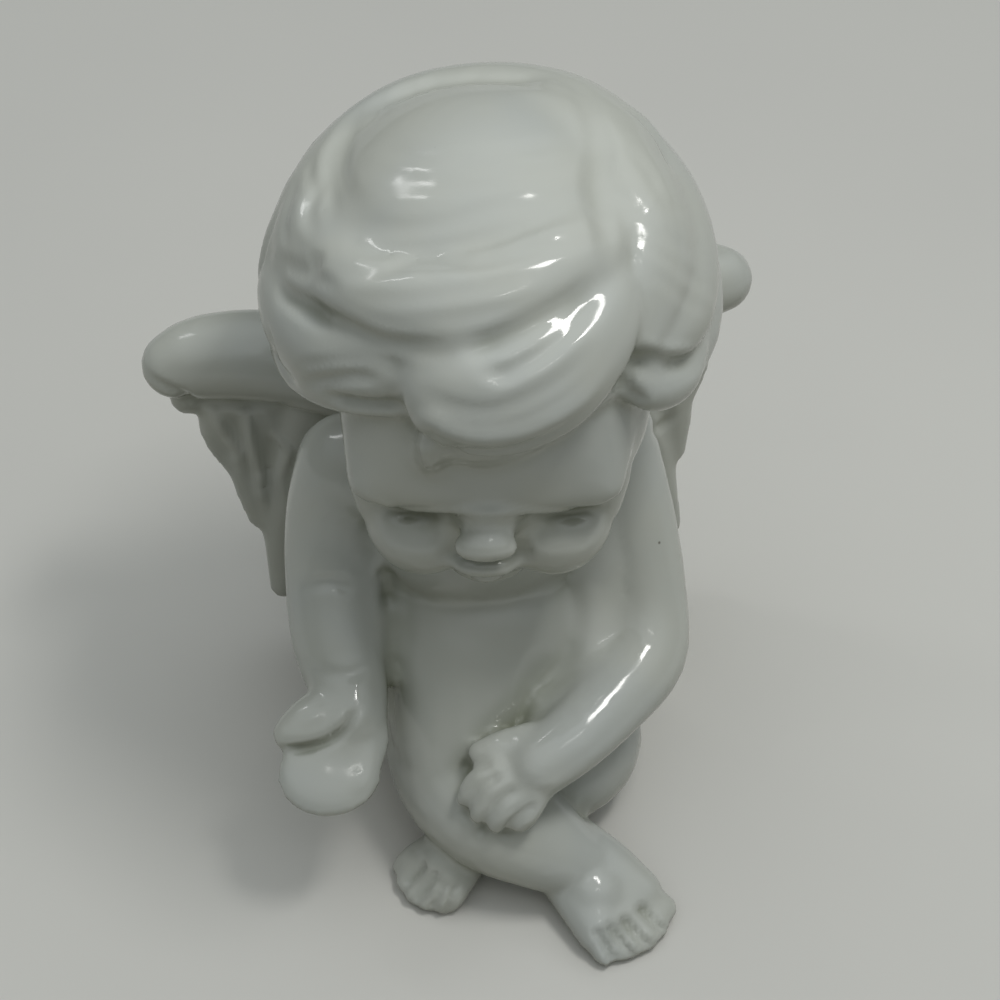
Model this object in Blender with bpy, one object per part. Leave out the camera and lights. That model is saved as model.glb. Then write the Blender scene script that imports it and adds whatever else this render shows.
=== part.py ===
"""Seated cherub figurine, slip-cast and glazed in one piece.

The cherub sits on the ground with its shins crossed and looks down. It faces -Y, its own left is +X,
and the origin is on the standing plane under the middle of its seat. Every form is set in units, each
a fixed share of the figure's height and about a millimetre here. Balls, limbs and bands of clay are
pressed into one skin, softened as slip casting softens them, and cut flat underneath.
"""

import math

import bmesh
import bpy
from mathutils import Matrix, Vector

# Driving dimensions, in metres
FIGURE_HEIGHT = 0.105

# Units in that height: every form below is set in them
UNITS_HIGH = 104.57
UNIT = FIGURE_HEIGHT / UNITS_HIGH

# Skin of the finished solid: its grain in units, its softening, and the share of its facets kept
SKIN_GRAIN = 0.85
SOFTENING_ROUNDS = 3
SKIN_SHARE_KEPT = 0.088
SHARP_ANGLE = 50.0
MERGE_THRESHOLD = 0.00001

# Steps between two stations of a limb, a band or a lock
STEPS_PER_SPAN = 4

# Head: its centre, and how far it turns to its right and nods, in degrees
HEAD_CENTRE = Vector((0.1, -5.0, 81.0))
HEAD_TURN = -11.0
HEAD_NOD = 6.0

# Hair cap: centre and half-sizes in the head's own frame
CAP_CENTRE = Vector((0.4, 2.2, 0.8))
CAP_RADII = Vector((22.6, 23.2, 20.9))
CROWN_CENTRE = Vector((0.4, 2.2, 2.9))
CROWN_RADII = Vector((22.2, 22.8, 20.6))

# Paired forms of the face are set about a line this far to the left of the nose
FACE_SHIFT = 1.1

# Toes: their radii from the big one on, how far the middle ones reach ahead, and how far they are cleft
TOE_RADII = (1.9, 1.7, 1.6, 1.5, 1.5)
TOE_ARC = 1.8
TOE_WEB = 0.5

# Wings: which way their fronts face, and how far the left one opens about a point of its ridge and lifts
WING_FACING = Vector((0.15, -1.0, 0.1)).normalized()
LEFT_WING_PIVOT = Vector((36.0, 20.0, 54.0))
LEFT_WING_OPENING = 7.0
LEFT_WING_LIFT = Vector((0.0, 0.0, 2.2))

# Porcelain
GLAZE_COLOUR = (0.62, 0.64, 0.62, 1.0)
GLAZE_ROUGHNESS = 0.08


def head_frame():
    """The matrix from the head's own frame to the figure's, in units."""
    turn = Matrix.Rotation(math.radians(HEAD_TURN), 4, "Z")
    nod = Matrix.Rotation(math.radians(HEAD_NOD), 4, "X")
    return Matrix.Translation(HEAD_CENTRE) @ turn @ nod


def left_wing_place():
    """The matrix that carries the right wing's forms to the left side, opened out a little."""
    mirror = Matrix.Diagonal((-1, 1, 1, 1))
    open_out = Matrix.Rotation(math.radians(-LEFT_WING_OPENING), 4, "Y")
    lifted = Matrix.Translation(LEFT_WING_PIVOT + LEFT_WING_LIFT)
    return lifted @ open_out @ Matrix.Translation(-LEFT_WING_PIVOT) @ mirror


def smooth_between(stations, steps=STEPS_PER_SPAN):
    """Stations read along a smooth curve through the given ones, each a tuple of numbers."""
    if len(stations) < 3:
        return [tuple(s) for s in stations]
    padded = [stations[0], *stations, stations[-1]]
    found = []
    for a, b, c, d in zip(padded, padded[1:], padded[2:], padded[3:]):
        for step in range(steps):
            t = step / steps
            weights = (
                -0.5 * t + t * t - 0.5 * t**3,
                1 - 2.5 * t * t + 1.5 * t**3,
                0.5 * t + 2 * t * t - 1.5 * t**3,
                -0.5 * t * t + 0.5 * t**3,
            )
            found.append(tuple(sum(w * v for w, v in zip(weights, values)) for values in zip(a, b, c, d)))
    return [*found, tuple(stations[-1])]


def ball(clay, frame, centre, radii, turn=(0, 0, 0)):
    """Adds an ellipsoid of clay. turn gives its rotation about X, Y and Z, in degrees."""
    spin = Matrix.Identity(4)
    for angle, axis in zip(turn, "XYZ"):
        spin = Matrix.Rotation(math.radians(angle), 4, axis) @ spin
    place = frame @ Matrix.Translation(centre) @ spin @ Matrix.Diagonal((*radii, 1.0))
    bmesh.ops.create_icosphere(clay, subdivisions=3, radius=1.0, matrix=place)


def hull_between(clay, places):
    """Adds the hull round the unit balls at the places, which are matrices."""
    piece = bmesh.new()
    for place in places:
        bmesh.ops.create_icosphere(piece, subdivisions=2, radius=1.0, matrix=place)
    hull = bmesh.ops.convex_hull(piece, input=piece.verts)
    kept = {v for v in hull["geom"] if isinstance(v, bmesh.types.BMVert)}
    bmesh.ops.delete(piece, geom=[v for v in piece.verts if v not in kept], context="VERTS")
    mesh = bpy.data.meshes.new("hull")
    piece.to_mesh(mesh)
    piece.free()
    clay.from_mesh(mesh)
    bpy.data.meshes.remove(mesh)


def limb(clay, frame, stations):
    """Adds a round limb through stations of x, y, z and radius."""
    places = [
        frame @ Matrix.Translation((x, y, z)) @ Matrix.Scale(radius, 4)
        for x, y, z, radius in smooth_between(stations)
    ]
    for pair in zip(places, places[1:]):
        hull_between(clay, pair)


def band(clay, frame, stations, outward):
    """Adds a flat band through stations of x, y, z, half-width and half-thickness.

    outward gives the band's outward direction at a point.
    """
    places = []
    for x, y, z, width, thickness in smooth_between(stations):
        lean = outward(Vector((x, y, z))).to_track_quat("Z", "Y").to_matrix().to_4x4()
        size = Matrix.Diagonal((width, width, thickness, 1.0))
        places.append(frame @ Matrix.Translation((x, y, z)) @ lean @ size)
    for pair in zip(places, places[1:]):
        hull_between(clay, pair)


def on_cap(longitude, latitude, lift):
    """The point of the hair cap at those angles in degrees, lifted outward by some units.

    Longitude is 0 over the face and grows to the cherub's left.
    """
    lon, lat = math.radians(longitude), math.radians(latitude)
    radii = CAP_RADII + Vector((lift, lift, lift))
    return CAP_CENTRE + Vector(
        (
            radii.x * math.cos(lat) * math.sin(lon),
            -radii.y * math.cos(lat) * math.cos(lon),
            radii.z * math.sin(lat),
        )
    )


def off_cap(point):
    """The outward direction of the hair cap at a point."""
    offset = point - CAP_CENTRE
    return Vector([o / (r * r) for o, r in zip(offset, CAP_RADII)]).normalized()


def off_wing(point):
    """The outward direction of the wing's front, the same at every point."""
    return WING_FACING


def lock(clay, stations):
    """Adds a lock of hair through stations of longitude, latitude, lift, half-width and half-thickness."""
    path = []
    for longitude, latitude, lift, width, thickness in stations:
        path.append((*on_cap(longitude, latitude, lift), width, thickness))
    band(clay, head_frame(), path, off_cap)


def add_torso(clay):
    """Seat, belly, chest, shoulders and neck."""
    body = Matrix.Identity(4)
    ball(clay, body, (0, 4, 11.4), (17, 15, 13))
    for side in (-1, 1):
        ball(clay, body, (side * 8.5, 6, 9), (9.5, 11, 10))
    ball(clay, body, (0, -5, 27), (15.8, 15.4, 14))
    ball(clay, body, (0, -2, 42), (15.5, 13, 14))
    limb(clay, body, [(-15, 0, 51, 7), (0, 0, 53, 9), (15.5, -1, 51, 7)])
    limb(clay, body, [(0, 0, 52, 10), (0, -4, 62, 10)])


def add_arms(clay):
    """Right arm held out with its palm up, left arm bent across to the right knee."""
    body = Matrix.Identity(4)
    right = [
        (-16.5, 0.5, 51, 6.6),
        (-18.8, -1, 44, 6.3),
        (-20, -5, 36.5, 6.2),
        (-20.6, -11, 31, 5.9),
        (-20.4, -16.5, 28, 4.7),
        (-21, -20, 26.6, 4.4),
    ]
    left = [
        (16.5, -1.5, 50, 6.2),
        (18.8, -7, 41, 5.5),
        (19.4, -13, 32.5, 5.4),
        (18, -18.5, 28, 5.6),
        (12.6, -24, 27, 5.1),
        (6.6, -28.6, 26, 4.5),
        (2, -30.6, 24.5, 4.2),
    ]
    right_web = [
        (-14.2, -2, 45, 4),
        (-14.6, -6.2, 37, 3.6),
        (-15, -10.4, 31, 3.2),
        (-15.4, -14.4, 27.6, 2.6),
    ]
    left_web = [
        (13.6, -5, 46, 4.5),
        (13.6, -8.6, 39, 4.6),
        (13.4, -12.4, 33, 4.6),
        (12.2, -17, 28.5, 4.6),
    ]
    lap_web = [(12.2, -17, 28.5, 4.6), (9.4, -20.4, 25.4, 4.4), (5, -22.8, 24, 3.8)]
    for path in (right, left, right_web, left_web, lap_web):
        limb(clay, body, path)


def add_hands(clay):
    """Open right hand in one mitten, left hand laid over the knee with its fingers curled."""
    body = Matrix.Identity(4)
    ball(clay, body, (-22.2, -22.6, 25.8), (6.2, 6.4, 2.8), turn=(30, 0, 0))
    ball(clay, body, (-24.2, -26.4, 23.8), (6.6, 5.5, 2.3), turn=(32, 0, 0))
    limb(clay, body, [(-20.8, -19, 27.6, 3.6), (-25.4, -20.6, 27.8, 3.1), (-28.6, -21.9, 27.2, 2.1)])
    ball(clay, body, (-1.6, -30.8, 22.6), (5.8, 5, 3.4), turn=(24, 0, 0))
    limb(clay, body, [(1.4, -27.6, 25.4, 2.7), (-2.4, -27.8, 24.6, 2.5), (-4.6, -28, 23.4, 2.1)])
    ball(clay, body, (-3.8, -29, 21.6), (3.2, 2.6, 2.8))
    fingers = [
        [(-4, -30.6, 22.6, 2.6), (-6, -30.8, 21.6, 2.3), (-6.9, -31, 20.2, 2)],
        [(-3.4, -32, 22.4, 2.6), (-5, -32.8, 21, 2.3), (-5.8, -33.2, 19.6, 1.9)],
        [(-2, -32.8, 22.2, 2.6), (-3.4, -33.9, 20.8, 2.3), (-4, -34.3, 19.2, 1.9)],
        [(0.2, -33, 22, 2.6), (-0.8, -34.2, 20.6, 2.3), (-1.4, -34.6, 19.2, 1.9)],
    ]
    for finger in fingers:
        limb(clay, body, finger)


def add_legs(clay):
    """Both legs, the right shin crossed in front of the left one."""
    body = Matrix.Identity(4)
    right = [
        (-8, 0, 10.5, 10),
        (-6.4, -12, 11, 9.6),
        (-6.2, -21, 12, 9.2),
        (-3.6, -27.4, 11.6, 8.2),
        (1.4, -31.4, 9, 6.4),
        (6, -33.6, 6, 4.9),
    ]
    left = [
        (8, 0, 10.5, 10),
        (10, -11, 10.5, 8.8),
        (9.8, -18.5, 10, 8.2),
        (3, -23, 8, 6.4),
        (-4, -26, 6, 5),
        (-8, -27.5, 4.8, 4.3),
    ]
    limb(clay, body, right)
    limb(clay, body, left)
    limb(clay, body, [(-2.5, -9, 25, 13), (-4.2, -16, 18, 11), (-5.5, -21, 13, 9)])


def add_foot(clay, heel, big_toe, little_toe):
    """Adds a foot from its heel to a fan of five toes between the big toe's tip and the little one's."""
    body = Matrix.Identity(4)
    forward = ((big_toe + little_toe) / 2 - heel).normalized()
    big_joint = heel.lerp(big_toe, 0.66)
    little_joint = heel.lerp(little_toe, 0.7)
    middle_joint = (big_joint + little_joint) / 2
    instep = heel.lerp(middle_joint, 0.6) + Vector((0, 0, 0.8))
    limb(clay, body, [(*heel, 4.4), (*instep, 4.2)])
    limb(clay, body, [(heel.x, heel.y, 2.6, 3.6), (middle_joint.x, middle_joint.y, 2, 3)])
    for joint in (big_joint, little_joint):
        limb(clay, body, [(*heel, 4), (joint.x, joint.y, 2.6, 2.9)])
        limb(clay, body, [(*instep, 3.6), (joint.x, joint.y, 2.6, 2.9)])
    limb(clay, body, [(big_joint.x, big_joint.y, 2.6, 2.9), (little_joint.x, little_joint.y, 2.6, 2.9)])
    tips = []
    for index, radius in enumerate(TOE_RADII):
        share = index / (len(TOE_RADII) - 1)
        tip = big_toe.lerp(little_toe, share) + forward * (TOE_ARC * math.sin(math.pi * share) - radius)
        root = big_joint.lerp(little_joint, share)
        limb(clay, body, [(root.x, root.y, 2.6, radius + 0.9), (tip.x, tip.y, 1.7, radius)])
        tips.append((tip.x - forward.x * TOE_WEB, tip.y - forward.y * TOE_WEB, 1.6, radius))
    limb(clay, body, tips)


def add_feet(clay):
    """Right foot out to the front, left foot under the right knee."""
    add_foot(clay, Vector((4.6, -33.0, 4.4)), Vector((17.8, -41.8, 2.0)), Vector((8.6, -46.9, 2.0)))
    add_foot(clay, Vector((-7.0, -27.0, 4.2)), Vector((-16.8, -28.4, 2.0)), Vector((-12.4, -35.0, 2.0)))


def add_face(clay):
    """Skull, forehead, cheeks, nose, lips and chin."""
    head = head_frame()
    ball(clay, head, (0.6, -1, 2), (20.5, 20.5, 20))
    ball(clay, head, (1, -8, -8), (18.2, 14.8, 17))
    ball(clay, head, (1, -10, -14), (14.8, 12.2, 12.6))
    brow = [(-11.2, -17.4, -8.6, 3.4), (0.4, -19.7, -8.4, 3.4), (12.6, -18, -9.8, 3.4)]
    places = [Matrix.Translation((x, y, z)) @ Matrix.Scale(radius, 4) for x, y, z, radius in brow]
    forehead = Matrix.Translation((0.8, -2.5, 1)) @ Matrix.Diagonal((19.2, 18, 17, 1))
    hull_between(clay, [head @ place for place in (forehead, *places)])
    temple = [(12.4, -13.4, -8.6, 3.9), (12.2, -14.2, -13, 4.2), (11.2, -14.4, -17, 4.4)]
    for side in (-1, 1):
        ball(clay, head, (FACE_SHIFT + side * 7.2, -15.4, -18.4), (7.2, 7.8, 8))
        ball(clay, head, (FACE_SHIFT + side * 6.8, -18.4, -12.6), (3.6, 2.4, 2.2))
        limb(clay, head, [(FACE_SHIFT + side * x, y, z, radius) for x, y, z, radius in temple])
    limb(clay, head, [(0.6, -20.6, -9.4, 2.4), (0.2, -23, -12.6, 2)])
    ball(clay, head, (0, -24.2, -14), (4, 2.1, 1.8))
    ball(clay, head, (0, -18.9, -20.8), (6.2, 3.8, 4))
    limb(clay, head, [(-3.6, -21.7, -20.4, 1.2), (0, -22.8, -20.4, 1.5), (3.6, -21.7, -20.4, 1.2)])
    limb(clay, head, [(-2.6, -21.2, -22, 1.1), (0, -22.1, -22.2, 1.4), (2.6, -21.2, -22, 1.1)])
    ball(clay, head, (0.2, -17, -24.6), (5.4, 4.2, 3.6))


def add_hair(clay):
    """Hair cap and its locks: a smooth crown, a roll round it, and one big forelock."""
    ball(clay, head_frame(), CAP_CENTRE, CAP_RADII)
    ball(clay, head_frame(), CROWN_CENTRE, CROWN_RADII)
    roll = [
        (-66, 25, 1, 5, 2.6),
        (-90, 24, 1.4, 6.5, 3),
        (-120, 24, 1.2, 7, 3),
        (-150, 26, 0.6, 7.5, 3),
        (-180, 30, 0.4, 7.5, 3),
        (-210, 34, 0.8, 7, 3),
        (-238, 40, 1, 6.5, 3),
    ]
    front = [
        (58, 50, 0.4, 4, 2.4),
        (36, 52, 1.2, 5, 2.8),
        (8, 47, 1.7, 5.6, 3),
        (-20, 42, 1.8, 5.4, 3),
        (-48, 37, 1.6, 4.6, 2.8),
        (-76, 33, 1, 3.6, 2.6),
    ]
    forelock = [
        (48, 40, 0.4, 3.4, 2.6),
        (39, 34, 1.2, 4.6, 3.2),
        (26, 29, 1.8, 6, 3.8),
        (12, 23.5, 2.2, 7, 4.2),
        (-2, 20.5, 2.2, 6.8, 4.2),
        (-12, 21.5, 1.6, 5, 3.6),
        (-18, 25, 0.8, 3, 2.6),
    ]
    underside = [
        (40, 13.5, -0.6, 3, 1.8),
        (24, 10.5, -0.4, 3, 2),
        (12, 4.5, -0.2, 3, 2.2),
        (0, -1, 0, 3, 2.2),
        (-10, 0, -0.2, 2.6, 2),
        (-16, 6, -0.6, 2, 1.6),
    ]
    wisp = [(-14, 8, 0.4, 2.2, 2), (-15, -2, 0.4, 2, 1.8), (-16, -10, -0.4, 1.4, 1.2)]
    right_temple = [
        [
            (-22, 23, 0, 2.6, 2.2),
            (-40, 19, 1, 4.2, 2.8),
            (-58, 12, 1.4, 5, 3.2),
            (-78, 6, 1.2, 5.4, 3.2),
            (-96, 2, 0.8, 5, 3),
        ],
        [
            (-24, 13, 0, 2.4, 2),
            (-42, 7, 0.8, 3.2, 2.6),
            (-60, -2, 1.2, 3.8, 2.8),
            (-78, -10, 1, 4, 2.8),
            (-94, -16, 0.4, 3.4, 2.4),
        ],
    ]
    left_side = [
        [
            (146, 54, 0, 5, 2.6),
            (112, 48, 0.6, 6, 3),
            (84, 40, 1, 6, 3.2),
            (66, 32, 1.2, 5.4, 3.2),
            (52, 23, 0.8, 3.6, 2.8),
        ],
        [
            (140, 32, 0, 6, 2.6),
            (114, 26, 0.8, 6.4, 3),
            (90, 20, 1.2, 6, 3.2),
            (70, 15, 1.5, 5.2, 3.2),
            (54, 15, 0.8, 3.6, 2.8),
        ],
        [
            (128, 8, 0.4, 6, 2.8),
            (106, 0, 1.2, 5.6, 3),
            (84, -6, 1.6, 4.8, 3.2),
            (66, -10, 1.4, 3.6, 2.8),
        ],
        [(76, -2, 1.2, 3, 2.4), (60, -2, 2, 3.4, 2.8), (50, 2, 1.8, 3, 2.4), (44, 8, 0.8, 2.2, 2)],
    ]
    nape = []
    for start in range(136, 260, 30):
        top = [(start, 22, 0.6, 6.5, 3), (start + 12, 4, 1, 6, 3.2)]
        nape.append([*top, (start + 6, -16, 0.6, 5, 3), (start - 6, -34, -0.8, 3.4, 2.4)])
    for path in [roll, front, forelock, underside, wisp, *right_temple, *left_side, *nape]:
        lock(clay, path)


def add_wing(clay, side, first_feather=0):
    """Adds the right wing, or the left one where side is the mirror matrix.

    The feathers are counted from the wing's tip, and those before first_feather are left out.
    """
    ridge = [
        (-6, 12, 46.4, 5),
        (-14, 16, 50.7, 5.8),
        (-24, 19, 53.4, 6),
        (-32, 20, 53.8, 5.5),
        (-36, 20, 53.2, 4.4),
    ]
    limb(clay, side, ridge)
    feathers = [
        [(-33, 20, 51, 4.4, 2.6), (-34.5, 20, 47.5, 3, 1.8), (-34.5, 20, 46, 1.8, 1.2)],
        [(-28, 20, 51, 4.6, 2.8), (-29.8, 20, 41.5, 4.4, 2.4), (-28.8, 19.5, 33.2, 2.4, 1.5)],
        [(-23, 19.5, 51, 4.8, 2.8), (-26.4, 19.5, 35.5, 4.6, 2.6), (-27, 18.5, 24, 2.2, 1.6)],
        [(-16.5, 18, 50, 5, 3), (-22, 18.5, 30, 4.8, 2.8), (-24.8, 16.5, 11, 2.4, 1.6)],
        [(-10, 15, 48, 5, 3.2), (-14, 16.5, 28, 5, 3), (-18.5, 16, 8, 3, 1.8)],
    ]
    for feather in feathers[first_feather:]:
        band(clay, side, feather, off_wing)


def pressed_skin(clay):
    """One closed skin round all the clay, softened as slip casting softens it."""
    bmesh.ops.recalc_face_normals(clay, faces=clay.faces)
    mesh = bpy.data.meshes.new("clay")
    clay.to_mesh(mesh)
    clay.free()
    lump = bpy.data.objects.new("clay", mesh)
    bpy.context.scene.collection.objects.link(lump)
    press = lump.modifiers.new("press", "REMESH")
    press.mode = "VOXEL"
    press.voxel_size = SKIN_GRAIN
    soften = lump.modifiers.new("soften", "SMOOTH")
    soften.factor = 0.5
    soften.iterations = SOFTENING_ROUNDS
    thin = lump.modifiers.new("thin", "DECIMATE")
    thin.ratio = SKIN_SHARE_KEPT
    seen = lump.evaluated_get(bpy.context.evaluated_depsgraph_get())
    skin = bpy.data.meshes.new_from_object(seen)
    bpy.data.objects.remove(lump)
    bpy.data.meshes.remove(mesh)
    return skin


def porcelain():
    """Glazed white porcelain."""
    material = bpy.data.materials.new("glazed_porcelain")
    material.use_nodes = True
    shader = material.node_tree.nodes["Principled BSDF"]
    shader.inputs["Base Color"].default_value = GLAZE_COLOUR
    shader.inputs["Roughness"].default_value = GLAZE_ROUGHNESS
    return material


def fill_pockets(form):
    """Fills the pockets of air shut in between forms, by removing their own small skins."""
    skins = []
    for start in form.verts:
        if start.tag:
            continue
        start.tag = True
        skin = [start]
        for vertex in skin:
            for edge in vertex.link_edges:
                other = edge.other_vert(vertex)
                if not other.tag:
                    other.tag = True
                    skin.append(other)
        skins.append(skin)
    outer = max(skins, key=len)
    inner = [vertex for skin in skins if skin is not outer for vertex in skin]
    bmesh.ops.delete(form, geom=inner, context="VERTS")


def stand(skin, name):
    """The finished figure: cut flat on the standing plane and brought to its height."""
    form = bmesh.new()
    form.from_mesh(skin)
    bpy.data.meshes.remove(skin)
    fill_pockets(form)
    whole = [*form.verts, *form.edges, *form.faces]
    cut = bmesh.ops.bisect_plane(
        form, geom=whole, dist=MERGE_THRESHOLD, plane_co=(0, 0, 0), plane_no=(0, 0, 1), clear_inner=True
    )
    rims = [e for e in cut["geom_cut"] if isinstance(e, bmesh.types.BMEdge)]
    bmesh.ops.holes_fill(form, edges=rims)
    bmesh.ops.triangulate(form, faces=form.faces)
    bmesh.ops.scale(form, vec=(UNIT, UNIT, UNIT), verts=form.verts)
    bmesh.ops.recalc_face_normals(form, faces=form.faces)
    mesh = bpy.data.meshes.new(name)
    form.to_mesh(mesh)
    form.free()
    mesh.shade_smooth()
    mesh.set_sharp_from_angle(angle=math.radians(SHARP_ANGLE))
    mesh.materials.append(porcelain())
    figure = bpy.data.objects.new(name, mesh)
    bpy.context.scene.collection.objects.link(figure)
    return figure


def main():
    """Builds the figurine."""
    for old in list(bpy.data.objects):
        bpy.data.objects.remove(old)
    clay = bmesh.new()
    add_torso(clay)
    add_arms(clay)
    add_hands(clay)
    add_legs(clay)
    add_feet(clay)
    add_face(clay)
    add_hair(clay)
    add_wing(clay, Matrix.Identity(4))
    add_wing(clay, left_wing_place(), first_feather=1)
    return stand(pressed_skin(clay), "cherub_figurine")


if __name__ == "__main__":
    main()
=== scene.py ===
import logging
import math
from dataclasses import dataclass, field
from enum import Enum
from typing import Callable, Sequence

import bmesh
import bpy
from mathutils import Matrix, Vector
from mathutils.bvhtree import BVHTree
from mathutils.kdtree import KDTree


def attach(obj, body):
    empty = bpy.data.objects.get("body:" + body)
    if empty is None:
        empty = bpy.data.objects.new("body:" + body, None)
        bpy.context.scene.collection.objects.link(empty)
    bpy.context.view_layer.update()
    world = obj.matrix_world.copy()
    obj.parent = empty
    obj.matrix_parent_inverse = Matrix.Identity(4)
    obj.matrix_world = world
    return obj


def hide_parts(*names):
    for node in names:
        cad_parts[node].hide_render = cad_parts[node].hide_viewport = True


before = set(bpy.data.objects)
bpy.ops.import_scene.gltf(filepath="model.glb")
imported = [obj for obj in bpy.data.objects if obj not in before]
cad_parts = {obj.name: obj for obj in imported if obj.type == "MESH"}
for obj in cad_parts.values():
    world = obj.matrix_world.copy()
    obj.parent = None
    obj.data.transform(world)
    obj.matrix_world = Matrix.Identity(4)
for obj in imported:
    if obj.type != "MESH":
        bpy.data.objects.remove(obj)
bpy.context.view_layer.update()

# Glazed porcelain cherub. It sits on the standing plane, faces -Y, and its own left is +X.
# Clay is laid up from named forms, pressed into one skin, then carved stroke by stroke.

Row = tuple[float, ...]
Rows = tuple[Row, ...]
Outward = Callable[[Vector], Vector]
Socket = bpy.types.NodeSocket

LOG = logging.getLogger("cherub")

# One unit is about a millimetre: the figure's height is given in metres and in units
FIGURE_HEIGHT = 0.105
HEIGHT_IN_UNITS = 104.57
UNIT = FIGURE_HEIGHT / HEIGHT_IN_UNITS
STEPS_PER_SPAN = 4
BODY = Matrix.Identity(4)


class Side(Enum):
    """The figure's own right and left, as the sign of X."""

    RIGHT = -1
    LEFT = 1


def put(name: str, data: bpy.types.ID) -> bpy.types.Object:
    """Makes an object and links it into the scene.

    Args:
        name: The object's name.
        data: Its mesh, lamp or camera.

    Returns:
        The object.
    """
    thing = bpy.data.objects.new(name, data)
    bpy.context.scene.collection.objects.link(thing)
    return thing


def smooth_between(stations: Sequence[Row], steps: int = STEPS_PER_SPAN) -> list[Row]:
    """Reads stations along a smooth curve through the given ones, with cubic weights.

    Args:
        stations: Tuples of numbers, all of one length.
        steps: Stations read for each span between two given ones.

    Returns:
        The stations read, with the last given one at the end.
    """
    if len(stations) < 3:
        return [tuple(s) for s in stations]
    padded = [stations[0], *stations, stations[-1]]
    found = []
    for a, b, c, d in zip(padded, padded[1:], padded[2:], padded[3:]):
        for step in range(steps):
            t = step / steps
            weights = (
                -0.5 * t + t * t - 0.5 * t**3,
                1 - 2.5 * t * t + 1.5 * t**3,
                0.5 * t + 2 * t * t - 1.5 * t**3,
                -0.5 * t * t + 0.5 * t**3,
            )
            found.append(tuple(sum(w * v for w, v in zip(weights, values)) for values in zip(a, b, c, d)))
    return [*found, tuple(stations[-1])]


class Clay:
    """Soft clay laid up as balls, limbs and bands, all in units."""

    BALL_FINENESS = 4
    HULL_FINENESS = 3

    def __init__(self) -> None:
        """Starts with no clay."""
        self.form = bmesh.new()

    def ball(self, place: Matrix, centre: Row, radii: Row, turn: Row = (0, 0, 0)) -> None:
        """Adds an ellipsoid.

        Args:
            place: The frame the ball is given in.
            centre: Its centre.
            radii: Its half-sizes.
            turn: Its rotation about X, Y and Z, in degrees.
        """
        spin = Matrix.Identity(4)
        for angle, axis in zip(turn, "XYZ"):
            spin = Matrix.Rotation(math.radians(angle), 4, axis) @ spin
        where = place @ Matrix.Translation(centre) @ spin @ Matrix.Diagonal((*radii, 1.0))
        bmesh.ops.create_icosphere(self.form, subdivisions=self.BALL_FINENESS, radius=1.0, matrix=where)

    def hull(self, places: Sequence[Matrix]) -> None:
        """Adds the hull round unit balls.

        Args:
            places: The frames of the balls, with their sizes.
        """
        piece = bmesh.new()
        for place in places:
            bmesh.ops.create_icosphere(piece, subdivisions=self.HULL_FINENESS, radius=1.0, matrix=place)
        hull = bmesh.ops.convex_hull(piece, input=piece.verts)
        kept = {v for v in hull["geom"] if isinstance(v, bmesh.types.BMVert)}
        bmesh.ops.delete(piece, geom=[v for v in piece.verts if v not in kept], context="VERTS")
        mesh = bpy.data.meshes.new("hull")
        piece.to_mesh(mesh)
        piece.free()
        self.form.from_mesh(mesh)
        bpy.data.meshes.remove(mesh)

    def limb(self, place: Matrix, stations: Rows) -> None:
        """Adds a round limb.

        Args:
            place: The frame the limb is given in.
            stations: Tuples of x, y, z and radius.
        """
        places = [
            place @ Matrix.Translation((x, y, z)) @ Matrix.Scale(radius, 4)
            for x, y, z, radius in smooth_between(stations)
        ]
        for pair in zip(places, places[1:]):
            self.hull(pair)

    def band(self, place: Matrix, stations: Rows, outward: Outward) -> None:
        """Adds a flat band.

        Args:
            place: The frame the band is given in.
            stations: Tuples of x, y, z, half-width and half-thickness.
            outward: Gives the band's outward direction at a point.
        """
        places = []
        for x, y, z, width, thickness in smooth_between(stations):
            lean = outward(Vector((x, y, z))).to_track_quat("Z", "Y").to_matrix().to_4x4()
            size = Matrix.Diagonal((width, width, thickness, 1.0))
            places.append(place @ Matrix.Translation((x, y, z)) @ lean @ size)
        for pair in zip(places, places[1:]):
            self.hull(pair)


@dataclass
class Torso:
    """Seat, belly, chest, shoulders and neck."""

    balls: tuple[tuple[Row, Row], ...] = (
        ((0, 4, 11.4), (17, 15, 13)),
        ((-8.5, 6, 9), (9.5, 11, 10)),
        ((8.5, 6, 9), (9.5, 11, 10)),
        ((0, -5, 27), (15.8, 15.4, 14)),
        ((0, -2, 42), (15.5, 13, 14)),
    )
    shoulders: Rows = ((-15, 0, 51, 7), (0, 0, 53, 9), (15.5, -1, 51, 7))
    neck: Rows = ((0, 0, 52, 10), (0, -4, 62, 10))

    def lay(self, clay: Clay) -> None:
        """Lays the torso's clay.

        Args:
            clay: The clay to add to.
        """
        for centre, radii in self.balls:
            clay.ball(BODY, centre, radii)
        clay.limb(BODY, self.shoulders)
        clay.limb(BODY, self.neck)


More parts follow.
